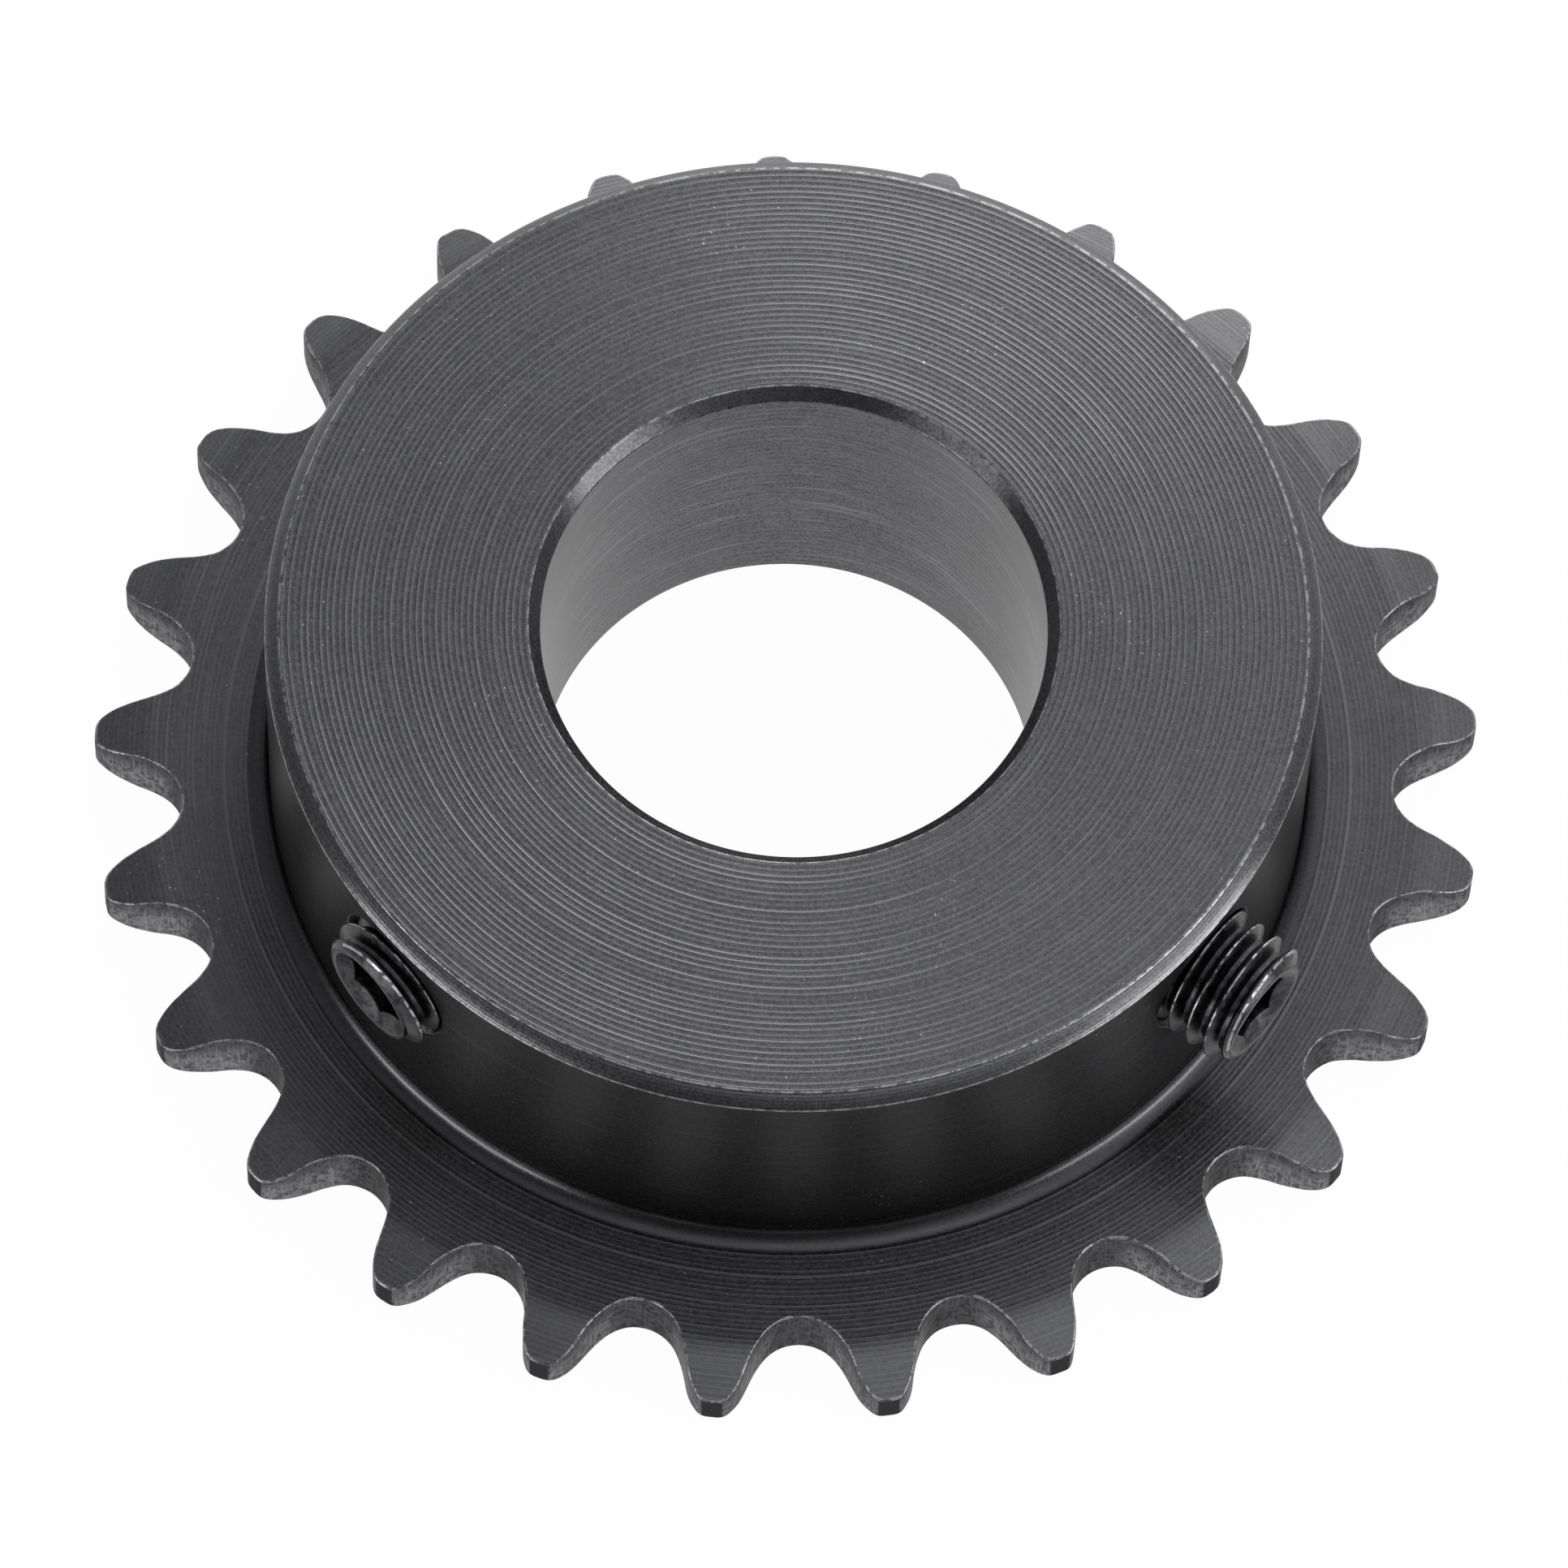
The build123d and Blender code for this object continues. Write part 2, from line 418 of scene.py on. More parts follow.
def body_mesh():
    """The sprocket, drawn as loops round its section, with a threaded hole at each screw."""
    shell = Shell()
    plan, plan_n = outline()
    n = len(plan)
    phi = np.unwrap(np.arctan2(plan[:, 1], plan[:, 0]))
    cosine, sine = np.cos(phi), np.sin(phi)
    # Every loop round the section, and what the band after it is made of
    loops = []

    def rings(rows):
        """Round loops. A plain loop beside a worn one keeps the wear at its edge."""
        for radius, z, across, up, edge, zone in rows:
            points = np.stack([radius * cosine, radius * sine, np.full(n, z)], 1)
            normals = np.stack([across * cosine, across * sine, np.full(n, up)], 1)
            loops.append((shell.add(points, normals / hypot(across, up), edge), zone))

    # Rows of the section give the radius, the height, the normal across and up, the wear, and
    # the material of the band that follows
    chamfer_z = LENGTH - FRONT_CHAMFER
    chamfer_r = BORE_R + FRONT_CHAMFER
    rings((
        (BORE_R, BACK_CHAMFER + EDGE, -1, 0, 0.5, BORE),
        (BORE_R, BACK_CHAMFER + 0.2, -1, 0, 0, BORE),
    ))
    bore_first = len(loops)
    rings([(BORE_R, z, -1, 0, 0, BORE) for z in HOLE_LEVELS])
    rings((
        (BORE_R, chamfer_z - 0.15, -1, 0, 0, BORE),
        (BORE_R, chamfer_z - EDGE, -1, 0, 0.6, BORE),
        (BORE_R + EDGE, chamfer_z + EDGE, -1, 1, 0.6, CHAMFER),
        (BORE_R + 0.15, chamfer_z + 0.15, -1, 1, 0, CHAMFER),
        (chamfer_r - 0.12, LENGTH - 0.12, -1, 1, 0, CHAMFER),
        (chamfer_r - 0.04, LENGTH - 0.04, -1, 1, 0.8, FACE),
        (chamfer_r + 0.04, LENGTH, 0, 1, 0.8, FACE),
        (chamfer_r + 0.14, LENGTH, 0, 1, 0, FACE),
        (FACE_RING, LENGTH, 0, 1, 0, FACE),
    ))
    burr = smooth_noise(n, BURR_CELLS) * smooth_noise(n, BURR_CROWD_CELLS)
    rim = HUB_R - HUB_CHAMFER
    shoulder = LENGTH - HUB_CHAMFER
    rings((
        (rim - 0.16, LENGTH, 0, 1, 0, FACE),
        (rim - 0.05, LENGTH, 0, 1, 1.0, FACE),
        (rim + 0.03, LENGTH - 0.03, 1, 1, 1.0, CHAMFER),
        (rim + 0.1, LENGTH - 0.1, 1, 1.6, 0, CHAMFER),
        (HUB_R - 0.15, shoulder + 0.15, 1, 1, 0, CHAMFER),
        (HUB_R - 0.05, shoulder + 0.05, 1, 1, 0.75, CHAMFER),
        (HUB_R, shoulder - 0.05, 1, 0, 0.75, WALL),
    ))
    wall_first = len(loops)
    rings([(HUB_R, z, 1, 0, 0, WALL) for z in HOLE_LEVELS[::-1]])
    rings([(HUB_R, WALL_LEVEL, 1, 0, 0, WALL)])
    for degrees in (0, 15, 30, 45, 60, 75, 90):
        t = radians(degrees)
        zone = {0: WALL, 90: PLATE_FACE}.get(degrees, FOOT_CURVE)
        radius, z = HUB_R + FOOT - FOOT * cos(t), PLATE + FOOT - FOOT * sin(t)
        rings([(radius, z, cos(t), sin(t), 0, zone)])
    rings([(radius, PLATE, 0, 1, 0, PLATE_FACE) for radius in PLATE_RINGS])

    # Past the foot the loops bend with the teeth. The width is that of the broken edge.
    wear = smooth_noise(n, WEAR_CELLS) ** 2
    width = TOOTH_EDGE + TOOTH_EDGE_WEAR * wear + TOOTH_EDGE_BURR * burr
    inner = plan - plan_n * width[:, None]
    inner_r = np.hypot(inner[:, 0], inner[:, 1])
    inner_phi = np.unwrap(np.arctan2(inner[:, 1], inner[:, 0]))

    def bevelled(radius, edge=0.0, lift=0.0):
        """A loop on the flat or on the bevel of the upper side, and its twin below."""
        fall = np.maximum(radius - CREASE_R, 0) * BEVEL_SLOPE
        c, s = np.cos(inner_phi), np.sin(inner_phi)
        # The crease is rubbed round, so its shading turns over a short way on both sides
        lean = BEVEL_SLOPE * np.clip((radius - CREASE_R) / (2 * CREASE_BLEND) + 0.5, 0, 1)
        normals = np.stack([c * lean, s * lean, np.ones(n)], 1) / np.hypot(1, lean)[:, None]
        top = np.stack([radius * c, radius * s, PLATE - fall + lift], 1)
        below = np.stack([radius * c, radius * s, fall], 1)
        return shell.add(top, normals, edge), shell.add(below, normals * [1, 1, -1], edge)

    before_guard, crease_guard, past_guard, rim_guard = CREASE_GUARDS
    past = np.minimum(CREASE_R + CREASE_BLEND, inner_r - past_guard)
    pairs = [
        bevelled(np.minimum(CREASE_R - CREASE_BLEND, inner_r - before_guard)),
        bevelled(np.minimum(CREASE_R, inner_r - crease_guard)),
        bevelled(past),
        bevelled(np.maximum(inner_r - rim_guard, (past + inner_r) / 2)),
    ]
    lift = np.maximum(smooth_noise(n, LIFT_CELLS) - BURR_START, 0) / (1 - BURR_START)
    pairs.append(bevelled(inner_r, 1.0, BURR * lift))
    loops += [(top, PLATE_FACE) for top, _ in pairs]

    # The tooth walls, between the two broken edges
    fall = np.maximum(np.hypot(plan[:, 0], plan[:, 1]) - CREASE_R, 0) * BEVEL_SLOPE
    wall_n = np.concatenate([plan_n, np.zeros((n, 1))], 1)
    high, low = PLATE - fall - width, fall + width
    for share, edge in ((0.0, 1.0), (0.05, 0.0), (0.5, 0.0), (0.95, 0.0), (1.0, 1.0)):
        z = high + (low - high) * share
        loops.append((shell.add(np.column_stack([plan, z]), wall_n, edge), FLANK))
    loops += [(below, PLATE_FACE) for _, below in pairs[::-1]]

    # The flat back, and the chamfer that leads into the bore again
    chamfer_r = BORE_R + BACK_CHAMFER
    rings([(radius, 0, 0, -1, 0, PLATE_FACE) for radius in (*BACK_RINGS, chamfer_r + 0.2)])
    rings((
        (chamfer_r + EDGE, 0, 0, -1, 0.7, PLATE_FACE),
        (chamfer_r - EDGE, EDGE, -1, -1, 0.7, WALL),
        (chamfer_r - 0.16, 0.16, -1, -1, 0, WALL),
        (BORE_R + EDGE, BACK_CHAMFER - EDGE, -1, -1, 0.5, WALL),
    ))

    # A rectangle round each hole is left out of the hub's wall and of the bore's wall
    def columns(axis, radius, gap):
        away = axis.away(phi)
        within = np.flatnonzero(np.abs(away) * radius < gap)
        return within[np.argsort(away[within])]

    axes = [ScrewAxis(angle) for angle in HOLE_ANGLES]
    wall_columns = [columns(axis, HUB_R, WALL_GAP) for axis in axes]
    bore_columns = [columns(axis, BORE_R, BORE_GAP) for axis in axes]
    rows = len(HOLE_LEVELS)
    for i, (loop, zone) in enumerate(loops):
        following = loops[(i + 1) % len(loops)][0]
        skip = set()
        for first, spans in ((bore_first, bore_columns), (wall_first, wall_columns)):
            if first <= i < first + rows - 1:
                for span in spans:
                    skip |= set(span[:-1].tolist())
        shell.band(loop, following, zone, skip)

    def border(first, span, upwards):
        """The rectangle's border, anticlockwise in arc length and height."""
        wall = [loops[first + k][0] for k in range(rows)]
        if not upwards:
            wall = wall[::-1]
        path = [wall[0][c] for c in span]
        path += [wall[k][span[-1]] for k in range(1, rows)]
        path += [wall[-1][c] for c in span[-2::-1]]
        path += [wall[k][span[0]] for k in range(rows - 2, 0, -1)]
        return path

    # The radius at which the countersink's cone meets the hub's wall, found step by step
    mouth_base = HUB_R - COUNTERSINK
    mouth = np.full(TURNS, HOLE_R)
    for _ in range(30):
        mouth = HOLE_R + np.sqrt(HUB_R**2 - (mouth * np.cos(TURN)) ** 2) - mouth_base

    def on_cylinder(axis, radius, rho, sign, edge):
        """A loop round a hole, on a cylinder about the bore."""
        across = rho * np.cos(TURN)
        points = axis.at(np.sqrt(radius**2 - across**2), TURN, rho)
        normals = points * [1, 1, 0] / radius * sign
        return shell.add(points, normals, edge)

    def hole_radius(along, share):
        thread = SCREW_R - thread_depth(share) + THREAD_GAP
        thread = np.clip(thread, HOLE_R - HOLE_THREAD_DEPTH, HOLE_R)
        return np.maximum(thread, HOLE_R + along - mouth_base)

    for axis, stand_out, wall_span, bore_span in zip(axes, STAND_OUT, wall_columns, bore_columns):
        start = HUB_R + stand_out - SCREW_LENGTH
        all_points = np.concatenate(shell.points)

        def angles(path, radius):
            x, y, z = all_points[path].T
            return np.arctan2(z - HOLE_Z, axis.away(np.arctan2(y, x)) * radius)

        outer = border(wall_first, wall_span, False)
        rim_loop = on_cylinder(axis, HUB_R, mouth + MOUTH_OVER, 1, 0.3)
        shell.zip(outer, angles(outer, HUB_R), rim_loop, TURN, WALL)
        low = np.sqrt(BORE_R**2 - (THREAD_END_SHARE * HOLE_R * np.cos(TURN)) ** 2)
        high = mouth_base + mouth - MOUTH_INTO - HOLE_R
        low_loop, high_loop = sleeve(
            shell, axis, start, low, high, HOLE_MARGIN, hole_radius, HOLE_ROWS, HOLE,
            inward=True, cut_r=BORE_R,
        )
        shell.band(high_loop, rim_loop, HOLE)
        inner_rim = on_cylinder(axis, BORE_R, np.full(TURNS, HOLE_R + BORE_MOUTH_OVER), -1, 0.7)
        shell.band(inner_rim, low_loop, HOLE)
        border_loop = border(bore_first, bore_span, True)
        shell.zip(inner_rim, TURN, border_loop, angles(border_loop, BORE_R), BORE)
    return shell


def screw_mesh():
    """Both set screws, each with its thread, its socket and its cup point."""
    shell = Shell()
    for angle, stand_out, hex_turn in zip(HOLE_ANGLES, STAND_OUT, HEX_TURN):
        axis = ScrewAxis(angle)
        start = HUB_R + stand_out - SCREW_LENGTH
        end = start + SCREW_LENGTH

        def screw_radius(along, share):
            thread = SCREW_R - thread_depth(share)
            socket_end = SCREW_R - np.maximum(along - (end - SOCKET_END_CHAMFER), 0)
            point_end = SCREW_R - np.maximum(start + POINT_END_CHAMFER - along, 0)
            return np.minimum(np.minimum(thread, socket_end), point_end)

        low, high = np.full(TURNS, start), np.full(TURNS, end)
        low_loop, high_loop = sleeve(
            shell, axis, start, low, high, SCREW_MARGIN, screw_radius, SCREW_ROWS, 0
        )

        # The socket: a narrow rim, a countersunk mouth that scallops the hexagon, and its bottom
        sixth = pi / 3
        hexagon = SOCKET_R / np.cos(np.mod(TURN + hex_turn, sixth) - sixth / 2)
        scallop = (CONE_R - hexagon) * CONE_SLOPE
        loop = high_loop
        for depth, radius, edge in (
            *SOCKET_MOUTH,
            (CONE_DEPTH + scallop, hexagon + 0.03, 0.3),
            (CONE_DEPTH + 0.1 + scallop, hexagon, 0.0),
            (SOCKET_DEPTH / 2, hexagon, 0.0),
            (SOCKET_DEPTH - 0.1, hexagon, 0.0),
            (SOCKET_DEPTH, hexagon * 0.96, 0.0),
            (SOCKET_DEPTH + 0.02, SOCKET_R - 0.1, 0.0),
        ):
            deeper = shell.add(axis.at(end - depth, TURN, radius), edge=edge)
            shell.band(deeper, loop, 0)
            loop = deeper
        shell.fan(loop, shell.add(axis.at(end - SOCKET_DEPTH - DRILL_DEPTH, 0.0, 0.0)), 0)

        # The cup point
        loop = low_loop
        for height, radius, edge in CUP_ROWS:
            deeper = shell.add(axis.at(start + height, TURN, radius), edge=edge)
            shell.band(loop, deeper, 0)
            loop = deeper
        shell.fan(loop[::-1], shell.add(axis.at(start + CUP_DEPTH, 0.0, 0.0)), 0)
    return shell


# Colours of worn edges and crests, and of the grit in the metal
BARE_STEEL = (0.40, 0.40, 0.41)
RUBBED_THREAD = (0.42, 0.42, 0.44)
PALE_GRIT = (0.42, 0.42, 0.42)
DARK_GRIT = (0.015, 0.015, 0.015)


class Nodes:
    """A short way to write the nodes of a material or of a world."""

    def __init__(self, owner, output="ShaderNodeOutputMaterial"):
        owner.use_nodes = True
        self.owner, self.tree = owner, owner.node_tree
        self.tree.nodes.clear()
        self.surface = self.tree.nodes.new(output).inputs["Surface"]

    def set(self, socket, value):
        if isinstance(value, bpy.types.NodeSocket):
            self.tree.links.new(value, socket)
        elif value is not None:
            socket.default_value = value

    def math(self, operation, a, b=None, c=None):
        node = self.tree.nodes.new("ShaderNodeMath")
        node.operation = operation
        for socket, value in zip(node.inputs, (a, b, c)):
            self.set(socket, value)
        return node.outputs[0]

    def ramp(self, value, low, high, out_low=0.0, out_high=1.0):
        node = self.tree.nodes.new("ShaderNodeMapRange")
        node.interpolation_type = "SMOOTHSTEP"
        self.set(node.inputs["Value"], value)
        names = ("From Min", "From Max", "To Min", "To Max")
        for name, number in zip(names, (low, high, out_low, out_high)):
            self.set(node.inputs[name], number)
        return node.outputs["Result"]

    def vector(self, x, y, z):
        node = self.tree.nodes.new("ShaderNodeCombineXYZ")
        for socket, value in zip(node.inputs, (x, y, z)):
            self.set(socket, value)
        return node.outputs[0]

    def noise(self, vector=None, w=None, scale=1.0, detail=2.0, roughness=0.5):
        """Noise in space, or along one value w."""
        node = self.tree.nodes.new("ShaderNodeTexNoise")
        node.noise_dimensions = "1D" if vector is None else "3D"
        if vector is None:
            self.set(node.inputs["W"], w)
        else:
            self.set(node.inputs["Vector"], vector)
        node.inputs["Scale"].default_value = scale
        node.inputs["Detail"].default_value = detail
        node.inputs["Roughness"].default_value = roughness
        return node.outputs["Fac"]

    def mix(self, factor, a, b):
        """A colour between two."""
        node = self.tree.nodes.new("ShaderNodeMix")
        node.data_type = "RGBA"
        self.set(node.inputs[0], factor)
        for socket, value in ((node.inputs[6], a), (node.inputs[7], b)):
            self.set(socket, value if isinstance(value, bpy.types.NodeSocket) else (*value, 1.0))
        return node.outputs[2]

    def place(self):
        """The point in millimetres, its coordinates, and its distance from the bore's axis."""
        coordinates = self.tree.nodes.new("ShaderNodeTexCoord")
        scale = self.tree.nodes.new("ShaderNodeVectorMath")
        scale.operation = "SCALE"
        self.set(scale.inputs[0], coordinates.outputs["Object"])
        scale.inputs["Scale"].default_value = 1000.0
        parts = self.tree.nodes.new("ShaderNodeSeparateXYZ")
        self.set(parts.inputs[0], scale.outputs[0])
        x, y, z = parts.outputs
        square = self.math("ADD", self.math("MULTIPLY", x, x), self.math("MULTIPLY", y, y))
        return scale.outputs[0], x, y, z, self.math("SQRT", square)

    def worn(self, start, point, scale, low, high, detail=4.0, roughness=0.7):
        """Ragged wear along the edges that the mesh marks, from 0 to 1."""
        node = self.tree.nodes.new("ShaderNodeAttribute")
        node.attribute_name = "edge"
        spots = self.noise(vector=point, scale=scale, detail=detail, roughness=roughness)
        ragged = self.ramp(spots, low, high)
        return self.math("MULTIPLY", self.ramp(node.outputs["Fac"], start, 1.0), ragged)

    def metal(self, colour, roughness, height, anisotropic=0.0, grazing=1.0):
        """The finished material. The height is in millimetres."""
        shader = self.tree.nodes.new("ShaderNodeBsdfPrincipled")
        shader.inputs["Metallic"].default_value = 1.0
        self.set(shader.inputs["Base Color"], colour)
        self.set(shader.inputs["Roughness"], roughness)
        shader.inputs["Specular Tint"].default_value = (grazing, grazing, grazing, 1.0)
        bump = self.tree.nodes.new("ShaderNodeBump")
        bump.inputs["Distance"].default_value = 0.001
        self.set(bump.inputs["Height"], height)
        self.set(shader.inputs["Normal"], bump.outputs[0])
        if anisotropic:
            shader.inputs["Anisotropic"].default_value = anisotropic
            shader.inputs["Anisotropic Rotation"].default_value = 0.25
            tangent = self.tree.nodes.new("ShaderNodeTangent")
            tangent.direction_type = "RADIAL"
            tangent.axis = "Z"
            self.set(shader.inputs["Tangent"], tangent.outputs[0])
        self.set(self.surface, shader.outputs[0])
        return self.owner


def turned_steel(
    name, along, pitch, depth, fine, dark, light, bright, roughness, grazing=1.0,
    anisotropic=0.45, mottle=1.0, sweep=14.0, streaks=0.35, crests=0.0,
    specks=None, speck=PALE_GRIT, ring=None,
):
    """Black-oxide steel with the marks that a turning tool leaves along one coordinate.

    The tool's grooves have a pitch and a depth, and finer lines lie over them. Where the noise
    passes the value of specks, grit shows. A ring is the radius of one raised turning mark, whose
    ridge is also painted paler as a highlight.
    """
    t = Nodes(bpy.data.materials.new(name))
    point, x, y, z, r = t.place()
    where = t.math("SUBTRACT", r, z) if along == "slope" else {"r": r, "z": z}[along]

    # Height: scalloped grooves of uneven depth, fine lines along them, and grain
    cell = t.math("SUBTRACT", t.math("FRACT", t.math("DIVIDE", where, pitch)), 0.5)
    scallop = t.math("MULTIPLY", t.math("MULTIPLY", cell, cell), 4.0)
    uneven = t.ramp(t.noise(w=where, scale=0.85 / pitch, detail=1.0), 0.3, 0.7, 0.6, 1.25)
    scallop = t.math("MULTIPLY", scallop, uneven)
    swept = t.vector(
        t.math("MULTIPLY", where, sweep), t.math("MULTIPLY", x, 0.25), t.math("MULTIPLY", y, 0.25)
    )
    lines = t.math("SUBTRACT", t.noise(vector=swept, detail=3.0, roughness=0.65), 0.5)
    grain = t.noise(vector=point, scale=5.5, detail=2.0, roughness=0.6)
    bumps = t.math("MULTIPLY", t.math("SUBTRACT", grain, 0.5), 0.002 * mottle)
    grooves = t.math("MULTIPLY", scallop, depth)
    height = t.math("ADD", t.math("ADD", grooves, t.math("MULTIPLY", lines, fine)), bumps)

    # Colour: grain, wide stains, streaks along the marks, and a painted highlight that makes the
    # crests between the grooves paler
    colour = t.mix(t.ramp(grain, 0.36, 0.64), dark, light)
    stain = t.noise(vector=point, scale=0.22, detail=3.0, roughness=0.6)
    colour = t.mix(t.ramp(stain, 0.35, 0.7, 0.0, 0.10 * mottle), colour, bright)
    streak = t.ramp(t.noise(vector=swept, scale=0.55, detail=2.0), 0.55, 0.75)
    colour = t.mix(t.math("MULTIPLY", streak, streaks), colour, bright)
    # Painted highlight: the crests between the grooves are made paler in colour, as light catching
    # them would make them look
    if crests:
        colour = t.mix(t.ramp(scallop, 0.3, 1.1, 0.0, crests), colour, bright)
    # Painted highlight: the ridge of the raised turning mark is made paler in colour; its rise in
    # height is a bump
    if ring is not None:
        near = t.math("ABSOLUTE", t.math("SUBTRACT", r, ring))
        ridge = t.ramp(near, 0.05, 0.2, 1.0, 0.0)
        colour = t.mix(t.math("MULTIPLY", ridge, 0.4), colour, bright)
        height = t.math("MULTIPLY_ADD", ridge, 0.006, height)
    if specks is not None:
        crowd = t.noise(vector=point, scale=0.12, detail=3.0)
        spot = t.noise(vector=point, scale=4.3, detail=1.0, roughness=0.4)
        spot = t.math("MULTIPLY_ADD", crowd, 0.45, spot)
        colour = t.mix(t.ramp(spot, specks, specks + 0.06, 0.0, 0.8), colour, speck)
    edge = t.worn(0.35, point, 1.9, 0.42, 0.56)
    colour = t.mix(t.math("MULTIPLY", edge, 0.65), colour, BARE_STEEL)
    rough = t.ramp(grain, 0.3, 0.7, roughness - 0.02, roughness + 0.04)
    return t.metal(colour, rough, height, anisotropic, grazing)


def flank_steel(name):
    """Cut tooth walls: paler, mottled, with marks along the tooth's thickness."""
    t = Nodes(bpy.data.materials.new(name))
    point, x, y, z, r = t.place()
    upright = t.vector(
        t.math("MULTIPLY", x, 7.0), t.math("MULTIPLY", y, 7.0), t.math("MULTIPLY", z, 0.7)
    )
    marks = t.noise(vector=upright, detail=3.0, roughness=0.6)
    spots = t.noise(vector=point, scale=2.4, detail=4.0, roughness=0.65)
    height = t.math("ADD", t.math("MULTIPLY", marks, 0.022), t.math("MULTIPLY", spots, 0.02))
    colour = t.mix(t.ramp(spots, 0.36, 0.62), (0.10, 0.10, 0.104), (0.26, 0.26, 0.27))
    colour = t.mix(t.ramp(marks, 0.50, 0.66, 0.0, 0.7), colour, (0.34, 0.34, 0.35))
    # Painted shade in the seats at the bottom of the gaps; the upper part of the walls is darker
    # too, in ragged patches
    seat = t.ramp(r, 35.6, 36.9, 0.65, 0.0)
    upper = t.ramp(t.math("MULTIPLY_ADD", spots, 2.5, z), 3.2, 5.2, 0.0, 0.6)
    colour = t.mix(t.math("MAXIMUM", seat, upper), colour, (0.035, 0.035, 0.037))
    # The tips keep the dark skin of the blank that the teeth were cut from
    tip = t.ramp(r, OUT_R - 0.12, OUT_R - 0.03)
    colour = t.mix(tip, colour, (0.055, 0.055, 0.06))
    edge = t.worn(0.6, point, 2.3, 0.45, 0.58)
    colour = t.mix(t.math("MULTIPLY", edge, 0.6), colour, BARE_STEEL)
    return t.metal(colour, t.ramp(spots, 0.3, 0.7, 0.30, 0.46), height, grazing=0.4)


def screw_steel(name):
    """Darker oxide on the screws, rubbed bright along the thread's crests."""
    t = Nodes(bpy.data.materials.new(name))
    point = t.place()[0]
    spots = t.noise(vector=point, scale=2.0, detail=4.0, roughness=0.6)
    colour = t.mix(t.ramp(spots, 0.35, 0.65), (0.026, 0.026, 0.029), (0.060, 0.060, 0.064))
    rubbed = t.worn(0.45, point, 1.6, 0.40, 0.55, detail=3.0, roughness=0.5)
    colour = t.mix(t.math("MULTIPLY", rubbed, 0.75), colour, RUBBED_THREAD)
    height = t.math("MULTIPLY", t.noise(vector=point, scale=6.0, detail=3.0), 0.012)
    return t.metal(colour, t.ramp(spots, 0.3, 0.7, 0.28, 0.42), height)


# In the order of the material slots
body_materials = [
    turned_steel(
        "hub_face_turned", "r", pitch=0.366, depth=0.014, fine=0.004,
        dark=(0.088, 0.088, 0.091), light=(0.118, 0.118, 0.122), bright=(0.20, 0.20, 0.205),
        roughness=0.25, mottle=0.45, crests=0.42, specks=1.00,
    ),
    # Painted shade: the hub's wall gets a far darker colour than the face and the chamfer, though
    # it is the same oxide
    turned_steel(
        "hub_wall_turned", "slope", pitch=0.19, depth=0.002, fine=0.006,
        dark=(0.033, 0.033, 0.035), light=(0.043, 0.043, 0.045), bright=(0.08, 0.08, 0.084),
        roughness=0.36, grazing=0.6, anisotropic=0.65, mottle=0.3, sweep=6.0, specks=1.03,
    ),
    turned_steel(
        "plate_turned", "r", pitch=0.313, depth=0.007, fine=0.004,
        dark=(0.078, 0.078, 0.082), light=(0.104, 0.104, 0.108), bright=(0.17, 0.17, 0.175),
        roughness=0.29, anisotropic=0.7, mottle=0.7, crests=0.42, specks=1.02, ring=32.9,
    ),
    flank_steel("tooth_wall_cut"),
    turned_steel(
        "bore_wall", "z", pitch=0.55, depth=0.006, fine=0.03,
        dark=(0.042, 0.041, 0.044), light=(0.108, 0.105, 0.113), bright=(0.22, 0.215, 0.23),
        roughness=0.30, sweep=4.0, streaks=0.5, specks=0.93, speck=DARK_GRIT,
    ),
    turned_steel(
        "tapped_hole", "z", pitch=0.4, depth=0.0, fine=0.004,
        dark=(0.05, 0.05, 0.055), light=(0.08, 0.08, 0.085), bright=(0.12, 0.12, 0.125),
        roughness=0.4,
    ),
    turned_steel(
        "hub_chamfer_turned", "slope", pitch=0.30, depth=0.003, fine=0.001,
        dark=(0.085, 0.085, 0.089), light=(0.12, 0.12, 0.125), bright=(0.18, 0.18, 0.185),
        roughness=0.26, mottle=0.1, sweep=5.0, crests=0.5, specks=1.03,
    ),
    # Painted shade: the foot between the wall and the plate gets a far darker colour than the plate
    # and the face, though it is the same oxide
    turned_steel(
        "foot_turned", "slope", pitch=0.19, depth=0.0, fine=0.0005,
        dark=(0.042, 0.042, 0.044), light=(0.052, 0.052, 0.055), bright=(0.085, 0.085, 0.089),
        roughness=0.26, grazing=0.3, anisotropic=0.2, mottle=0.05, sweep=6.0, specks=1.2,
    ),
]

body = body_mesh().build("sprocket_body", body_materials)
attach(body, "root")
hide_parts("sprocket")

screws = screw_mesh().build("set_screws_threaded", [screw_steel("screw_oxide")])
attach(screws, "root")
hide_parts("set_screws")

# The studio, in metres. The floor lies just below the part.
FLOOR_HALF = 1.5
FLOOR_Z = -0.00003
FLOOR_COLOUR = (0.9, 0.9, 0.9, 1.0)
# The share of the floor's plain white that the camera and reflections see
FLOOR_WHITE = 0.97

# Each lamp has its place, its target, its width and height, and its radiance
LAMPS = {
    "overhead": ((0.22, 0.19, 0.36), (0.05, 0, 0), 0.36, 0.40, 0.45),
    "low_left": ((-0.366, -0.247, 0.085), (0, 0, 0.01), 0.30, 0.05, 16.0),
    "low_right": ((0.382, -0.220, 0.085), (0, 0, 0.01), 0.30, 0.05, 16.0),
    "right_side": ((0.60, -0.25, 0.35), (0, 0, 0), 0.35, 0.4, 1.2),
    "groove_light": ((0.103, 0.412, 0.424), (0, 0, 0), 0.22, 0.22, 2.8),
    "low_back": ((0.13, 0.57, 0.14), (0, 0, 0), 0.52, 0.24, 2.2),
}

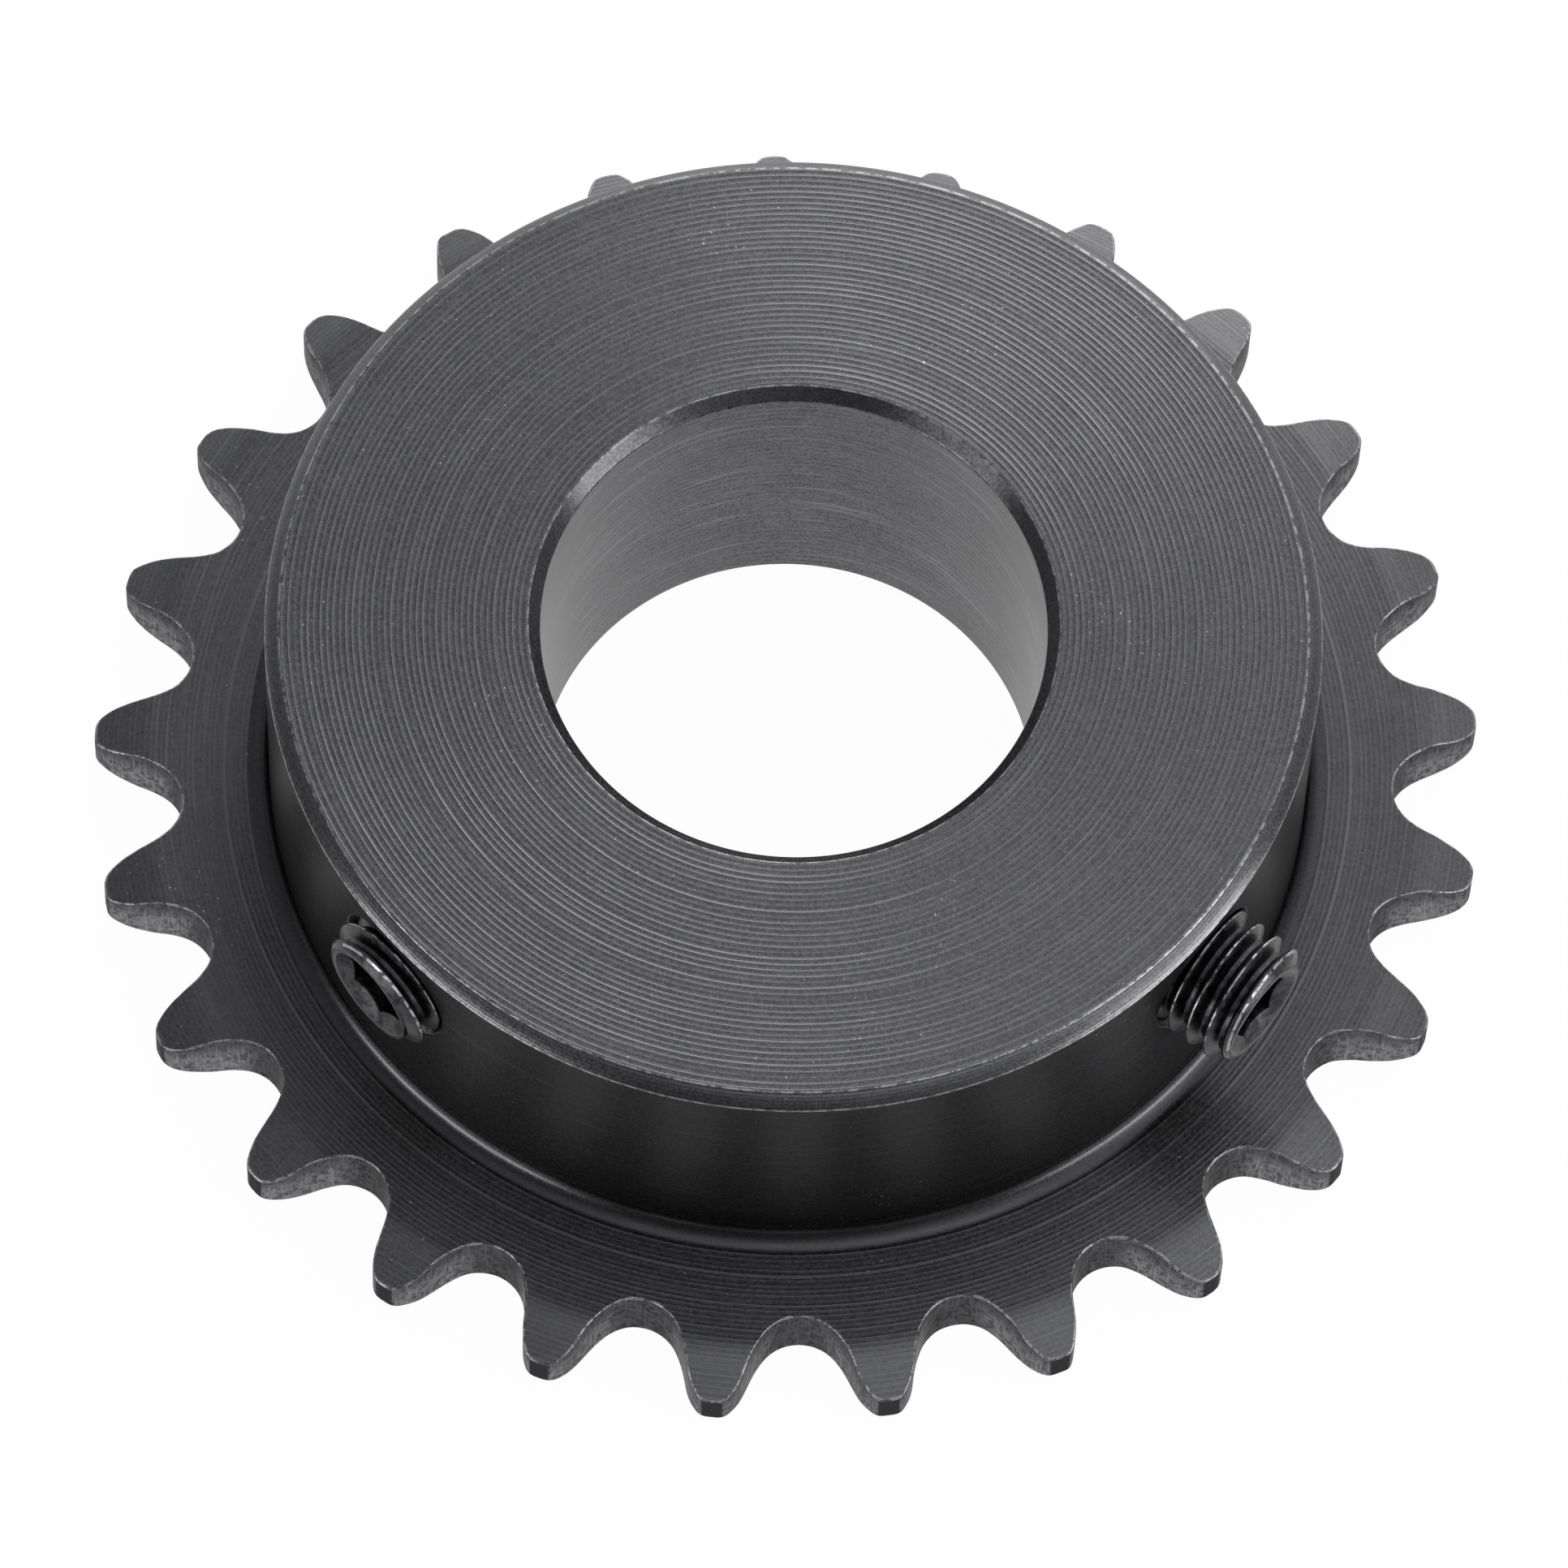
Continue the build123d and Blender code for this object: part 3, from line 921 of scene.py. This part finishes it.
# The world's plain level, and the azimuth from +Y towards +X, elevation, sharpness and
# strength of its bright sides
WORLD_COLOUR = (0.97, 0.98, 1.0, 1.0)
WORLD_BASE = 0.12
WORLD_LOBES = (
    (45.0, 25.0, 6.0, 0.8),
    (140.0, 73.0, 9.0, 1.35),
    (120.0, 40.0, 4.0, 0.4),
    (-10.0, 5.0, 4.0, 1.3),
    (-80.0, 50.0, 4.0, 0.25),
)

# The camera's angles in degrees, its distance from the origin along its own right, down and
# forward in millimetres, its sensor's width, and its focal length in widths of the frame
CAMERA_ELEVATION, CAMERA_ROLL, CAMERA_TURN = 64.445, -2.76, 3.6
CAMERA_OFFSET = (0.122, 0.341, 715.18)
SENSOR = 36.0
FOCAL_SHARE = 15000 / 1932


def floor():
    """A pale floor that the camera and reflections see as near white, and that takes shadows."""
    mesh = bpy.data.meshes.new("floor")
    s, z = FLOOR_HALF, FLOOR_Z
    mesh.from_pydata([(-s, -s, z), (s, -s, z), (s, s, z), (-s, s, z)], [], [(0, 1, 2, 3)])
    piece = bpy.data.objects.new("floor", mesh)
    bpy.context.scene.collection.objects.link(piece)
    t = Nodes(bpy.data.materials.new("floor_white"))
    diffuse = t.tree.nodes.new("ShaderNodeBsdfDiffuse")
    diffuse.inputs["Color"].default_value = FLOOR_COLOUR
    glow = t.tree.nodes.new("ShaderNodeEmission")
    glow.inputs["Strength"].default_value = 1.0
    path = t.tree.nodes.new("ShaderNodeLightPath")
    seen = t.math("MAXIMUM", path.outputs["Is Camera Ray"], path.outputs["Is Glossy Ray"])
    seen = t.math("MAXIMUM", seen, path.outputs["Is Transmission Ray"])
    mixer = t.tree.nodes.new("ShaderNodeMixShader")
    t.set(mixer.inputs[0], t.math("MULTIPLY", seen, FLOOR_WHITE))
    t.set(mixer.inputs[1], diffuse.outputs[0])
    t.set(mixer.inputs[2], glow.outputs[0])
    t.set(t.surface, mixer.outputs[0])
    mesh.materials.append(t.owner)


def softbox(name, place, target, width, height, radiance):
    """An area lamp of a given radiance, turned towards a point."""
    data = bpy.data.lights.new(name, "AREA")
    data.shape = "RECTANGLE"
    data.size, data.size_y = width, height
    data.energy = radiance * pi * width * height
    lamp = bpy.data.objects.new(name, data)
    bpy.context.scene.collection.objects.link(lamp)
    lamp.location = place
    lamp.rotation_mode = "QUATERNION"
    lamp.rotation_quaternion = (Vector(target) - Vector(place)).to_track_quat("-Z", "Y")
    lamp.visible_camera = False


def world():
    """A studio that is brightest behind the part and overhead, and darker in front."""
    t = Nodes(bpy.data.worlds.new("studio"), "ShaderNodeOutputWorld")
    coordinates = t.tree.nodes.new("ShaderNodeTexCoord")
    total = WORLD_BASE
    for azimuth, elevation, sharpness, strength in WORLD_LOBES:
        a, e = radians(azimuth), radians(elevation)
        dot = t.tree.nodes.new("ShaderNodeVectorMath")
        dot.operation = "DOT_PRODUCT"
        t.set(dot.inputs[0], coordinates.outputs["Generated"])
        dot.inputs[1].default_value = (sin(a) * cos(e), cos(a) * cos(e), sin(e))
        lobe = t.math("POWER", t.math("MAXIMUM", dot.outputs["Value"], 0.0), sharpness)
        total = t.math("ADD", t.math("MULTIPLY", lobe, strength), total)
    background = t.tree.nodes.new("ShaderNodeBackground")
    background.inputs["Color"].default_value = WORLD_COLOUR
    t.set(background.inputs["Strength"], total)
    t.set(t.surface, background.outputs[0])
    bpy.context.scene.world = t.owner


def camera():
    """The camera at the photograph's viewing angle."""
    elevation, roll = radians(CAMERA_ELEVATION), radians(CAMERA_ROLL)
    ce, se, cr, sr = cos(elevation), sin(elevation), cos(roll), sin(roll)
    right = Vector((cr, -sr * se, -sr * ce))
    down = Vector((-sr, -cr * se, -cr * ce))
    forward = Vector((0.0, ce, -se))
    along_right, along_down, along_forward = CAMERA_OFFSET
    offset = right * along_right + down * along_down + forward * along_forward
    stand = Matrix((right, -down, -forward)).transposed().to_4x4()
    stand.translation = -offset * 0.001
    data = bpy.data.cameras.new("camera")
    data.sensor_width = SENSOR
    data.lens = FOCAL_SHARE * SENSOR
    data.clip_start, data.clip_end = 0.05, 10.0
    cam = bpy.data.objects.new("camera", data)
    bpy.context.scene.collection.objects.link(cam)
    cam.matrix_world = Matrix.Rotation(-radians(CAMERA_TURN), 4, "Z") @ stand
    bpy.context.scene.camera = cam


floor()
world()
for name, lamp in LAMPS.items():
    softbox(name, *lamp)
camera()
bpy.context.scene.view_settings.view_transform = "Standard"
